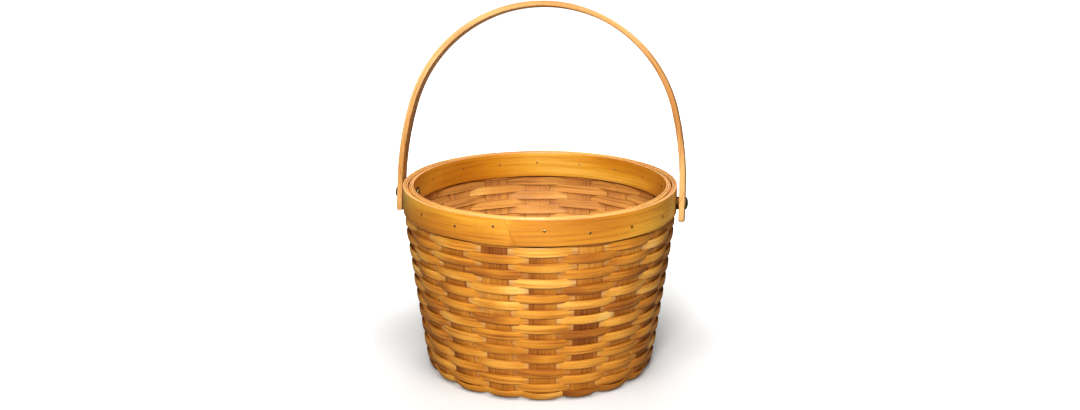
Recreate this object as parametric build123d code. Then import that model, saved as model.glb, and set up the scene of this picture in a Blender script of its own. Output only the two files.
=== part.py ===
from build123d import *
import os
from math import asin, atan2, cos, pi, radians, sin, tan

# A round woven-splint market basket with a swinging bentwood handle, in millimetres.
# The origin is on the floor at the basket's axis, +Z is up, and the handle swings about a line along X.

# Splints: the flat uprights, which cross in the base as a plain-woven grid.
SPLINT_WIDTH = 28.5
SPLINT_THICKNESS = 1.4
GRID_GAP = 3.0           # open space between neighbouring splints in the base
LONG_SPLINTS = 5         # splints that run along X
CROSS_SPLINTS = 4        # splints that run along Y
BASE_MARGIN = 16.0       # flat base left outside the farthest turn of a splint
UPRIGHTS = 2 * (LONG_SPLINTS + CROSS_SPLINTS)

# Weavers: closed rounds that go over one upright and under the next.
WEAVER_WIDTH = 8.5
WEAVER_THICKNESS = 1.2
WEAVER_GRIP = 1.0        # how far a weaver stays flat past each edge of an upright
ROW_GAP = 0.15
WALL_ROWS = 22           # rounds above the rounded corner of the base
NECK_ROWS = 4            # of those, the rounds from the neck up, where the rim pulls them in
NECK_IN = 1.5            # how far the rim pulls the uprights in
WEAVE_CLEARANCE = 0.1    # between strips that cross

# The rounded corner between base and wall: two slanting steps, one round of weaver on each.
STEP_OUT = (6.2, 3.7)
STEP_UP = (3.85, 6.4)

# Rim: two hoops that hold the uprights and the top rounds between them.
RIM_RADIUS = 150.0       # outside of the outer band
OUTER_BAND_THICKNESS = 3.0
INNER_BAND_THICKNESS = 3.0
BAND_HEIGHT = 28.0
BAND_ROOM = 0.8          # air between a band and the weavers it covers
RIM_COVER = 5.0          # band above the top round
UPRIGHT_SHORT = 2.0      # uprights end this far below the rim's top

# Tacks through the rim.
TACK_SHANK_RADIUS = 0.7
TACK_HEAD_RADIUS = 1.7
TACK_HEAD_HEIGHT = 0.8
TACK_DROP = 12.3         # tack below the rim's top
CLINCH_RADIUS = 1.1
CLINCH_HEIGHT = 0.5

# Handle: a bentwood strip, arched over the rim and leaning back at rest.
HANDLE_WIDTH = 20.5
HANDLE_THICKNESS = 6.0
HANDLE_REACH = 214.6     # pivot to the top of the arch
HANDLE_TAIL = 20.0       # leg below the pivot
HANDLE_SHANK = 14.0      # straight leg above the pivot
SHOULDER_ANGLE = 15.0    # turn of the long bend before the crown
HANDLE_LEAN = 12.0       # degrees from upright, towards +Y
TAIL_CORNER = 3.0
HANDLE_GAP = 3.2         # between the outer band and the handle
PIVOT_DROP = 17.0        # pivot below the rim's top

# Rivets and their washers.
RIVET_RADIUS = 2.5
RIVET_HEAD_RADIUS = 7.0
RIVET_HEAD_HEIGHT = 3.0
RIVET_TAIL_RADIUS = 4.2
RIVET_TAIL_HEIGHT = 1.6
WASHER_RADIUS = 7.0
BURR_RADIUS = 6.0
BURR_THICKNESS = 1.0
RUN_CLEARANCE = 0.08     # radial, handle hole on the rivet
FIXED_CLEARANCE = 0.05   # radial, every other hole on its pin
SIDE_CLEARANCE = 0.35    # between the handle and what stands beside it

# What follows from those sizes.
GRID_PITCH = SPLINT_WIDTH + GRID_GAP
STRAND_RISE = (SPLINT_THICKNESS + WEAVE_CLEARANCE) / 2
BASE_LEVEL = STRAND_RISE + SPLINT_THICKNESS / 2
ROW_PITCH = WEAVER_WIDTH + ROW_GAP
WEAVE_OFFSET = (SPLINT_THICKNESS + WEAVER_THICKNESS) / 2 + WEAVE_CLEARANCE
STEP_ANGLE = 360 / UPRIGHTS


def turn_radius(offset, angle):
    """Distance from the axis at which a splint at this offset turns to run outwards at this angle."""
    if angle == 0:
        return 0.0
    return offset / sin(radians(angle))


def offsets(count):
    """Sideways places of a set of parallel splints in the base, centred on the axis."""
    return [(i - (count - 1) / 2) * GRID_PITCH for i in range(count)]


def fan_angle(offset):
    """Angle away from its own direction at which a splint leaves the grid, one upright apart each."""
    return offset / GRID_PITCH * STEP_ANGLE


FLAT_RADIUS = BASE_MARGIN + max(
    turn_radius(abs(s), abs(fan_angle(s))) for s in offsets(LONG_SPLINTS) + offsets(CROSS_SPLINTS)
)
CORNER_RADIUS = FLAT_RADIUS + sum(STEP_OUT)
CORNER_TOP = BASE_LEVEL + sum(STEP_UP)
NECK_LOW = CORNER_TOP + (WALL_ROWS - NECK_ROWS) * ROW_PITCH
WEAVE_TOP = CORNER_TOP + WALL_ROWS * ROW_PITCH
RIM_TOP = WEAVE_TOP + RIM_COVER
BAND_INSIDE = RIM_RADIUS - OUTER_BAND_THICKNESS
# A flat float's ends stand farther out than its middle, so the rim's uprights allow for that.
FLOAT_HALF = SPLINT_WIDTH / 2 + WEAVER_GRIP
FLOAT_OUTSIDE = ((BAND_INSIDE - BAND_ROOM / 2) ** 2 - FLOAT_HALF ** 2) ** 0.5
NECK_RADIUS = FLOAT_OUTSIDE - WEAVE_OFFSET - WEAVER_THICKNESS / 2
INNER_BAND_OUTSIDE = NECK_RADIUS - WEAVE_OFFSET - WEAVER_THICKNESS / 2 - BAND_ROOM / 2
INNER_BAND_INSIDE = INNER_BAND_OUTSIDE - INNER_BAND_THICKNESS
# The upright's middle line from the flat base to its cut end, as (distance from axis, height).
UPRIGHT_LINE = [
    (FLAT_RADIUS, BASE_LEVEL),
    (FLAT_RADIUS + STEP_OUT[0], BASE_LEVEL + STEP_UP[0]),
    (CORNER_RADIUS, CORNER_TOP),
    (NECK_RADIUS + NECK_IN, NECK_LOW),
    (NECK_RADIUS, NECK_LOW + ROW_PITCH),
    (NECK_RADIUS, RIM_TOP - UPRIGHT_SHORT),
]
PIVOT_HEIGHT = RIM_TOP - PIVOT_DROP
TACK_HEIGHT = RIM_TOP - TACK_DROP
HANDLE_INSIDE = RIM_RADIUS + HANDLE_GAP
HANDLE_OUTSIDE = HANDLE_INSIDE + HANDLE_THICKNESS


def strip_outline(line, thickness):
    """Closed outline of a strip of this thickness that follows an open line of (u, v) points, mitred."""
    left, right = [], []
    for i, (u, v) in enumerate(line):
        before = line[max(i - 1, 0)]
        after = line[min(i + 1, len(line) - 1)]
        start = atan2(v - before[1], u - before[0]) if i > 0 else atan2(after[1] - v, after[0] - u)
        end = atan2(after[1] - v, after[0] - u) if i < len(line) - 1 else start
        normal = (start + end) / 2 + pi / 2
        reach = thickness / 2 / cos((end - start) / 2)
        left.append((u + reach * cos(normal), v + reach * sin(normal)))
        right.append((u - reach * cos(normal), v - reach * sin(normal)))
    return left + right[::-1]


def radial_plane(angle):
    """Plane through the axis whose x is outwards at this angle and whose y is up."""
    outwards = Vector(cos(radians(angle)), sin(radians(angle)), 0)
    return Plane(origin=(0, 0, 0), x_dir=outwards, z_dir=outwards.cross(Vector(0, 0, 1)))


def extrude_both(plane, outline, width):
    """Prism of this outline, as wide to one side of the plane as to the other."""
    face = plane * make_face(Polyline(outline, close=True))
    return extrude(face, amount=width / 2, both=True)


def upright(angle):
    """The part of a splint outside the grid: flat, round the corner, up the wall and into the rim."""
    line = [(FLAT_RADIUS - BASE_MARGIN / 2, BASE_LEVEL)] + UPRIGHT_LINE
    return extrude_both(radial_plane(angle), strip_outline(line, SPLINT_THICKNESS), SPLINT_WIDTH)


def grid_line(crossed, first_over):
    """Middle line of a splint in the base, over and under the splints that it crosses."""
    flat = SPLINT_WIDTH / 2 + WEAVE_CLEARANCE
    line = [(-FLAT_RADIUS, BASE_LEVEL), (crossed[0] - GRID_PITCH / 2 - GRID_GAP / 2, BASE_LEVEL)]
    for i, place in enumerate(crossed):
        side = 1 if (i % 2 == 0) == first_over else -1
        height = BASE_LEVEL + side * STRAND_RISE
        line += [(place - flat, height), (place + flat, height)]
    line += [(crossed[-1] + GRID_PITCH / 2 + GRID_GAP / 2, BASE_LEVEL), (FLAT_RADIUS, BASE_LEVEL)]
    return line


def grid_slab(crossed, first_over):
    """A sheet as wide as the base that rises and falls as one splint does, running along X."""
    line = grid_line(crossed, first_over)
    over = [(u, v + SPLINT_THICKNESS / 2) for u, v in line]
    under = [(u, v - SPLINT_THICKNESS / 2) for u, v in reversed(line)]
    return extrude_both(radial_plane(0), over + under, 4 * FLAT_RADIUS)


def splint(offset, crossed, first_over):
    """One whole splint that runs along X at this sideways place, with an upright at each end."""
    angle = fan_angle(offset)
    reach = FLAT_RADIUS - BASE_MARGIN / 2
    if angle == 0:
        plan = [(-reach, 0), (reach, 0)]
    else:
        turn = offset / tan(radians(angle))
        end = (reach * cos(radians(angle)), reach * sin(radians(angle)))
        plan = [(-end[0], end[1]), (-turn, offset), (turn, offset), end]
    flat = extrude(make_face(Polyline(strip_outline(plan, SPLINT_WIDTH), close=True)), amount=CORNER_TOP)
    return (flat & grid_slab(crossed, first_over)) + upright(angle) + upright(180 - angle)


def line_at(height):
    """Distance of the upright's middle line from the axis at this height, and its slant from upright."""
    for (r0, z0), (r1, z1) in zip(UPRIGHT_LINE, UPRIGHT_LINE[1:]):
        if z1 > z0 and height <= z1:
            return r0 + (r1 - r0) * (height - z0) / (z1 - z0), atan2(r1 - r0, z1 - z0)
    return NECK_RADIUS, 0.0


def weave_points(radius, offset, first_out):
    """Corners of one round: flat over each upright, offset outwards and inwards from it in turn."""
    points = []
    for i in range(UPRIGHTS):
        angle = radians(i * STEP_ANGLE)
        side = 1 if (i % 2 == 0) == first_out else -1
        for along in (-FLOAT_HALF, FLOAT_HALF):
            out = radius + side * offset
            points.append((out * cos(angle) - along * sin(angle), out * sin(angle) + along * cos(angle)))
    return points


def weave_core(low, high, shift, first_out):
    """Everything inside one surface of a round, between two heights; the surface is shifted outwards."""
    middle = (low + high) / 2
    radius, slant = line_at(middle)
    offset = WEAVE_OFFSET / cos(slant)
    points = []
    for i, (x, y) in enumerate(weave_points(radius, offset, first_out)):
        angle = radians(i // 2 * STEP_ANGLE)
        points.append((x + shift / cos(slant) * cos(angle), y + shift / cos(slant) * sin(angle)))
    sections = []
    for height in (low, high):
        scale = 1 + (height - middle) * tan(slant) / radius
        ring = Polyline([(x * scale, y * scale, height) for x, y in points], close=True)
        sections.append(make_face(ring))
    return loft(sections, ruled=True)


def weaver_row(low, high, first_out):
    """One closed round of weaver."""
    half = WEAVER_THICKNESS / 2
    return weave_core(low, high, half, first_out) - weave_core(low, high, -half, first_out)


def row_heights():
    """Lower and upper edge of every round, from the floor up, clear of the inside of each bend."""
    ease = SPLINT_THICKNESS / 2 + WEAVE_CLEARANCE
    bends = [height for _, height in UPRIGHT_LINE[:3]]
    rows = [(low + ease, high) for low, high in zip(bends, bends[1:])]
    for i in range(WALL_ROWS):
        low = CORNER_TOP + i * ROW_PITCH
        rows.append((low + ease if i == 0 else low, low + WEAVER_WIDTH))
    return rows


def band(inside, outside):
    """One hoop of the rim."""
    ring = Cylinder(outside, BAND_HEIGHT) - Cylinder(inside, BAND_HEIGHT)
    return Pos(0, 0, RIM_TOP - BAND_HEIGHT / 2) * ring


def cap_arc(seat, radius, rise):
    """Half the outline of a dome that stands on a disc of this radius at this place along the axis."""
    ball = (radius ** 2 + rise ** 2) / (2 * abs(rise))
    half = asin(radius / ball) / 2
    way = 1 if rise > 0 else -1
    middle = (seat + rise + way * (ball * cos(half) - ball), ball * sin(half))
    return ThreePointArc((seat, radius), middle, (seat + rise, 0))


def headed_pin(shank, length, head, head_height, tail, tail_height):
    """A pin along X with a domed head beyond x = 0 and a domed tail beyond x = -length."""
    edges = [
        cap_arc(0, head, head_height),
        Line((0, head), (0, shank)),
        Line((0, shank), (-length, shank)),
        Line((-length, shank), (-length, tail)),
        cap_arc(-length, tail, -tail_height),
        Line((-length - tail_height, 0), (head_height, 0)),
    ]
    return revolve(make_face(edges), Axis.X, 360)


def at_rim(angle, distance, height, thing):
    """Puts something that points along X at this distance from the axis, at this angle round the rim."""
    return Rot(0, 0, angle) * Pos(distance, 0, height) * thing


def disc(radius, hole, thickness):
    """Flat washer about X, from x = 0 outwards."""
    ring = Cylinder(radius, thickness) - Cylinder(hole, thickness)
    return Pos(thickness / 2, 0, 0) * Rot(0, 90, 0) * ring


def bore(radius):
    """Tool that cuts a hole along X through the whole rim, from x = 0 inwards."""
    length = HANDLE_OUTSIDE - INNER_BAND_INSIDE + 2 * RIVET_HEAD_HEIGHT
    return Pos(-length / 2, 0, 0) * Rot(0, 90, 0) * Cylinder(radius, length)


def arch_face(inset):
    """Everything under the handle's outer line, or under that line moved inwards, with the pivot at z = 0."""
    half = HANDLE_OUTSIDE - inset
    turn = radians(SHOULDER_ANGLE)
    crown_share = (1 - sin(turn)) / cos(turn)
    shoulder = (HANDLE_REACH - HANDLE_SHANK - crown_share * HANDLE_OUTSIDE) / (
        sin(turn) - crown_share * (1 - cos(turn))
    )
    crown = (HANDLE_OUTSIDE - shoulder * (1 - cos(turn))) / cos(turn)
    crown_height = HANDLE_REACH - crown

    def shoulder_point(angle):
        """Point on the long bend at this angle from its start."""
        x = HANDLE_OUTSIDE - shoulder + (shoulder - inset) * cos(angle)
        return x, HANDLE_SHANK + (shoulder - inset) * sin(angle)

    low = (half, -HANDLE_TAIL)
    bend = [shoulder_point(turn * share) for share in (0, 0.5, 1)]
    top = (0, crown_height + crown - inset)
    mirrored = [(-x, z) for x, z in bend]
    edges = [
        Line(low, bend[0]),
        ThreePointArc(*bend),
        ThreePointArc(bend[2], top, mirrored[2]),
        ThreePointArc(*reversed(mirrored)),
        Line(mirrored[0], (-half, -HANDLE_TAIL)),
        Line((-half, -HANDLE_TAIL), low),
    ]
    return make_face(edges)


def handle():
    """The bentwood handle, with its pivot holes, leaning back as it rests."""
    strip = Plane.XZ * (arch_face(0) - arch_face(HANDLE_THICKNESS))
    body = extrude(strip, amount=HANDLE_WIDTH / 2, both=True)
    ends = body.edges().filter_by(Axis.X).group_by(Axis.Z)[0]
    body = fillet(ends, TAIL_CORNER)
    hole = Rot(0, 90, 0) * Cylinder(RIVET_RADIUS + RUN_CLEARANCE, 2 * HANDLE_OUTSIDE + 2)
    return Pos(0, 0, PIVOT_HEIGHT) * Rot(-HANDLE_LEAN, 0, 0) * (body - hole)


def rivet_holes():
    """Tools for the two handle rivets' holes in the rim."""
    tool = bore(RIVET_RADIUS + FIXED_CLEARANCE)
    return [at_rim(angle, HANDLE_OUTSIDE, PIVOT_HEIGHT, tool) for angle in (0, 180)]


def tack_angles():
    """Every upright but the two that carry the rivets."""
    return [i * STEP_ANGLE for i in range(UPRIGHTS) if i * 2 % UPRIGHTS != 0]


def tack_holes():
    """Tools for the tacks' holes in the rim."""
    tool = bore(TACK_SHANK_RADIUS + FIXED_CLEARANCE)
    return [at_rim(angle, HANDLE_OUTSIDE, TACK_HEIGHT, tool) for angle in tack_angles()]


def tack():
    """One brad, from its head on the outer band to its clinched point on the inner one."""
    length = RIM_RADIUS - INNER_BAND_INSIDE + FIXED_CLEARANCE
    return headed_pin(
        TACK_SHANK_RADIUS, length, TACK_HEAD_RADIUS, TACK_HEAD_HEIGHT, CLINCH_RADIUS, CLINCH_HEIGHT
    )


def save(name, shape):
    """Writes one sub-part."""
    shape.label = name
    export_step(shape, f"parts/{name}.step")


def drilled(shape, tools):
    """The shape without each tool that reaches it."""
    for tool in tools:
        box, other = shape.bounding_box(), tool.bounding_box()
        apart = (
            box.min.X > other.max.X or other.min.X > box.max.X
            or box.min.Y > other.max.Y or other.min.Y > box.max.Y
            or box.min.Z > other.max.Z or other.min.Z > box.max.Z
        )
        if not apart:
            shape = shape - tool
    return shape


def main():
    """Builds every piece in place and writes it."""
    os.makedirs("parts", exist_ok=True)
    holes = rivet_holes() + tack_holes()
    long_places, cross_places = offsets(LONG_SPLINTS), offsets(CROSS_SPLINTS)
    for i, place in enumerate(long_places):
        save(f"splint_long_{i + 1}", drilled(splint(place, cross_places, i % 2 == 0), holes))
    for i, place in enumerate(cross_places):
        # The quarter turn sends a cross splint's sideways place to -X, so the places run backwards.
        turned = Rot(0, 0, 90) * splint(-place, long_places, i % 2 == 1)
        save(f"splint_cross_{i + 1}", drilled(turned, holes))
    for i, (low, high) in enumerate(row_heights()):
        save(f"weaver_row_{i + 1:02d}", drilled(weaver_row(low, high, i % 2 == 0), holes))
    save("rim_outer_band", drilled(band(BAND_INSIDE, RIM_RADIUS), holes))
    save("rim_inner_band", drilled(band(INNER_BAND_INSIDE, INNER_BAND_OUTSIDE), holes))
    save("rim_tacks", Compound([at_rim(angle, RIM_RADIUS, TACK_HEIGHT, tack()) for angle in tack_angles()]))
    save("handle", handle())

    burr_seat = INNER_BAND_INSIDE - BURR_RADIUS ** 2 / (2 * INNER_BAND_INSIDE) - FIXED_CLEARANCE
    rivet_seat = HANDLE_OUTSIDE + SIDE_CLEARANCE
    rivet = headed_pin(
        RIVET_RADIUS, rivet_seat - burr_seat + BURR_THICKNESS,
        RIVET_HEAD_RADIUS, RIVET_HEAD_HEIGHT, RIVET_TAIL_RADIUS, RIVET_TAIL_HEIGHT,
    )
    washer_hole = RIVET_RADIUS + FIXED_CLEARANCE
    spacer = disc(WASHER_RADIUS, washer_hole, HANDLE_GAP - SIDE_CLEARANCE)
    burr = disc(BURR_RADIUS, washer_hole, BURR_THICKNESS)
    for side, angle in (("right", 0), ("left", 180)):
        save(f"rivet_{side}", at_rim(angle, rivet_seat, PIVOT_HEIGHT, rivet))
        save(f"spacer_washer_{side}", at_rim(angle, RIM_RADIUS, PIVOT_HEIGHT, spacer))
        save(f"burr_washer_{side}", at_rim(angle, burr_seat - BURR_THICKNESS, PIVOT_HEIGHT, burr))


main()
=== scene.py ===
"""Looks of a round woven-splint market basket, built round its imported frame. Everything is in metres."""

from __future__ import annotations

import logging
import math
import random
from dataclasses import dataclass, field
from enum import Enum
from typing import Callable, Sequence

import bpy
import numpy as np
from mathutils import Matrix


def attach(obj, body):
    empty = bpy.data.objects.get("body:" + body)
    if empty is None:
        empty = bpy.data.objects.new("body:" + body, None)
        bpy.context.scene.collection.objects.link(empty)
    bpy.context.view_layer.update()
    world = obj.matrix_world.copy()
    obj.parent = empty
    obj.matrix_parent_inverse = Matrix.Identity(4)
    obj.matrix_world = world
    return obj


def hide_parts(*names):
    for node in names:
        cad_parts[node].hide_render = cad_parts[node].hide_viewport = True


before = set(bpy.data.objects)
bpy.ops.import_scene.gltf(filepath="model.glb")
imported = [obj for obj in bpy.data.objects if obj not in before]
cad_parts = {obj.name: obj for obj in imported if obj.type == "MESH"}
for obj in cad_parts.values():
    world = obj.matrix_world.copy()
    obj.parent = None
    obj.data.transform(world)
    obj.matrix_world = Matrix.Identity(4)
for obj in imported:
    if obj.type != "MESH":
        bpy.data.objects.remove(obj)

log = logging.getLogger("basket")

Colour = tuple[float, float, float]
Point = tuple[float, float, float]
Spot = tuple[float, float]

GRAIN_UV = "grain"
PALER_AND_PAINTED_HIGHLIGHT = "paler_and_painted_highlight"
OWN_TONE = "own_tone"
UPRIGHTS = 18
STEP = math.tau / UPRIGHTS
RIVETED = (0, UPRIGHTS // 2)
ROUNDS = 24
LONG_SPLINTS = 5
CROSS_SPLINTS = 4
SPLINT_WIDTH = 0.0285
SPLINT_THICKNESS = 0.0014
GRID_PITCH = 0.0315
BASE_LEVEL = 0.00145
STRAND_RISE = 0.00075
WALL_LINE: tuple[Spot, ...] = (
    (0.1060, 0.00145), (0.1110, 0.00150), (0.1150, 0.0022), (0.1184, 0.0040), (0.1210, 0.0067),
    (0.1228, 0.0100), (0.1240, 0.0145), (0.1254, 0.0230), (0.1281, 0.0420), (0.1321, 0.0710),
    (0.1361, 0.1000), (0.1401, 0.1290), (0.1433, 0.1525), (0.1447, 0.1635), (0.1450, 0.1690),
    (0.1446, 0.1740), (0.1440, 0.1790), (0.1438, 0.1850), (0.1438, 0.2050),
)
RIM_TOP = 0.207
RIM_LOW = 0.179
RIM_DEPTH = RIM_TOP - RIM_LOW
OUTER_BAND = (0.1470, 0.1500)
INNER_BAND = (0.1384, 0.1414)
PIVOT = 0.190
TACK_LEVEL = 0.1947


class Body(Enum):
    """The two bodies that pieces ride on."""

    BASKET = "basket"
    HANDLE = "handle"


class Slot(Enum):
    """The record's material slots."""

    SPLINT = "splint_wood"
    WEAVER = "weaver_wood"
    RIM = "rim_wood"
    HANDLE = "handle_wood"
    RIVET = "rivet_metal"
    TACK = "tack_metal"


# ---------------------------------------------------------------- bench tools


def deselect_all() -> None:
    """Leaves nothing selected, in object mode."""
    if bpy.context.object and bpy.context.object.mode != "OBJECT":
        bpy.ops.object.mode_set(mode="OBJECT")
    bpy.ops.object.select_all(action="DESELECT")


def pick(obj: bpy.types.Object) -> None:
    """Makes obj the only selected and the active object."""
    deselect_all()
    obj.select_set(True)
    bpy.context.view_layer.objects.active = obj


def name_new(name: str) -> bpy.types.Object:
    """Names the primitive that was just added.

    Args:
        name: The piece's name.

    Returns:
        The new object.
    """
    obj = bpy.context.object
    obj.name = name
    obj.data.name = name
    return obj


def clear_selection(obj: bpy.types.Object, kind: str = "VERT") -> None:
    """Clears the mesh's selection in one select mode, and ends in object mode.

    Args:
        obj: The mesh object to edit.
        kind: VERT, EDGE or FACE.
    """
    pick(obj)
    bpy.ops.object.mode_set(mode="EDIT")
    bpy.ops.mesh.select_mode(type=kind)
    bpy.ops.mesh.select_all(action="DESELECT")
    bpy.ops.object.mode_set(mode="OBJECT")


def edit_where(obj: bpy.types.Object, chosen: Callable[[Point], bool]) -> None:
    """Opens edit mode with only the vertices at chosen places selected.

    Args:
        obj: The mesh object to edit.
        chosen: Says of a vertex's place whether it is selected.
    """
    clear_selection(obj)
    for vertex in obj.data.vertices:
        vertex.select = bool(chosen(vertex.co))
    bpy.ops.object.mode_set(mode="EDIT")


def edit_chosen(obj: bpy.types.Object, chosen: np.ndarray) -> None:
    """Opens edit mode with only these vertices selected.

    Args:
        obj: The mesh object to edit.
        chosen: One truth value for each vertex.
    """
    clear_selection(obj)
    obj.data.vertices.foreach_set("select", chosen)
    bpy.ops.object.mode_set(mode="EDIT")


def edit_edges(obj: bpy.types.Object, chosen: Callable[[Point, Point], bool]) -> None:
    """Opens edit mode with only the chosen edges selected.

    Args:
        obj: The mesh object to edit.
        chosen: Says of the places of an edge's two ends whether it is selected.
    """
    clear_selection(obj, "EDGE")
    places = obj.data.vertices
    for line in obj.data.edges:
        first, second = (places[v].co for v in line.vertices)
        line.select = bool(chosen(first, second))
    bpy.ops.object.mode_set(mode="EDIT")


def split_edges(obj: bpy.types.Object, axis: int, least: float, cuts: int) -> None:
    """Splits every edge that runs along an axis.

    Args:
        obj: The mesh object to edit.
        axis: 0, 1 or 2, for X, Y or Z.
        least: Edges that reach no farther than this along the axis are left.
        cuts: New vertices on each edge.
    """
    edit_edges(obj, lambda first, second: abs(first[axis] - second[axis]) > least)
    bpy.ops.mesh.subdivide(number_cuts=cuts)
    bpy.ops.mesh.select_mode(type="VERT")
    leave_edit()


def leave_edit() -> None:
    """Goes back to object mode."""
    bpy.ops.object.mode_set(mode="OBJECT")


def apply_all(obj: bpy.types.Object) -> None:
    """Applies the object's modifiers in order, and its place, turn and size."""
    pick(obj)
    for modifier in list(obj.modifiers):
        bpy.ops.object.modifier_apply(modifier=modifier.name)
    bpy.ops.object.transform_apply(location=True, rotation=True, scale=True)


def thicken(obj: bpy.types.Object, thickness: float, edge: float, segments: int = 2) -> None:
    """Gives a sheet its thickness, half to each side, and eases its edges.

    Args:
        obj: The sheet.
        thickness: Full thickness.
        edge: Width of the eased edge.
        segments: Steps across the eased edge.
    """
    solid = obj.modifiers.new("thickness", "SOLIDIFY")
    solid.thickness = thickness
    solid.offset = 0.0
    solid.use_even_offset = True
    bevel = obj.modifiers.new("eased edges", "BEVEL")
    bevel.width = edge
    bevel.segments = segments
    bevel.limit_method = "ANGLE"
    bevel.angle_limit = math.radians(50)
    apply_all(obj)


def outward(obj: bpy.types.Object) -> None:
    """Merges doubled vertices and turns every face outwards."""
    pick(obj)
    bpy.ops.object.mode_set(mode="EDIT")
    bpy.ops.mesh.select_all(action="SELECT")
    bpy.ops.mesh.remove_doubles(threshold=1e-6)
    bpy.ops.mesh.normals_make_consistent(inside=False)
    leave_edit()


def smooth(obj: bpy.types.Object, degrees: float = 40.0) -> None:
    """Shades the object smooth, with edges sharper than this angle kept crisp."""
    pick(obj)
    bpy.ops.object.shade_smooth_by_angle(angle=math.radians(degrees))


def lay_grain(obj: bpy.types.Object, place: Callable[[np.ndarray, np.ndarray], np.ndarray]) -> None:
    """Writes the grain map: metres along the wood, and metres across it from its middle.

    Args:
        obj: The finished mesh.
        place: Takes every corner's place and its face's centre, and returns the map's two columns.
    """
    mesh = obj.data
    corners = len(mesh.loops)
    index = np.empty(corners, np.int32)
    mesh.loops.foreach_get("vertex_index", index)
    places = np.empty(len(mesh.vertices) * 3, np.float32)
    mesh.vertices.foreach_get("co", places)
    centres = np.empty(len(mesh.polygons) * 3, np.float32)
    mesh.polygons.foreach_get("center", centres)
    totals = np.empty(len(mesh.polygons), np.int32)
    mesh.polygons.foreach_get("loop_total", totals)
    at_corner = places.reshape(-1, 3)[index]
    at_centre = np.repeat(centres.reshape(-1, 3), totals, axis=0)
    while mesh.uv_layers:
        mesh.uv_layers.remove(mesh.uv_layers[0])
    layer = mesh.uv_layers.new(name=GRAIN_UV)
    layer.data.foreach_set("uv", place(at_corner, at_centre).astype(np.float32).ravel())


def lay_value(obj: bpy.types.Object, name: str,
              value: Callable[[np.ndarray, np.ndarray], np.ndarray]) -> None:
    """Writes one number from 0 to 1 on each face.

    Args:
        obj: The finished mesh.
        name: The lightening value, for how far the face is lightened towards a pale tone (paler inner faces,
            and a painted highlight on float ends and rim tops), or OWN_TONE, for the tone of its stretch of
            wood.
        value: Takes every face's centre and normal, and returns its number.
    """
    faces = obj.data.polygons
    centres = np.empty(len(faces) * 3, np.float32)
    faces.foreach_get("center", centres)
    normals = np.empty(len(faces) * 3, np.float32)
    faces.foreach_get("normal", normals)
    layer = obj.data.attributes.new(name, "FLOAT", "FACE")
    numbers = value(centres.reshape(-1, 3), normals.reshape(-1, 3))
    layer.data.foreach_set("value", np.asarray(numbers, np.float32))


def around_axis(corner: np.ndarray, centre: np.ndarray, start: float) -> np.ndarray:
    """Angle of each corner round the axis from a start, with no jump inside a face.

    Args:
        corner: The corners' places.
        centre: Their faces' centres.
        start: Angle where the strip begins and ends.

    Returns:
        Angles from about 0 to a full turn.
    """
    middle = (np.arctan2(centre[:, 1], centre[:, 0]) - start) % math.tau
    angle = np.arctan2(corner[:, 1], corner[:, 0]) - start
    return middle + (angle - middle + math.pi) % math.tau - math.pi


def dress(obj: bpy.types.Object, material: bpy.types.Material) -> None:
    """Gives the object one material."""
    obj.data.materials.clear()
    obj.data.materials.append(material)


# ---------------------------------------------------------------- finishes


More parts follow.
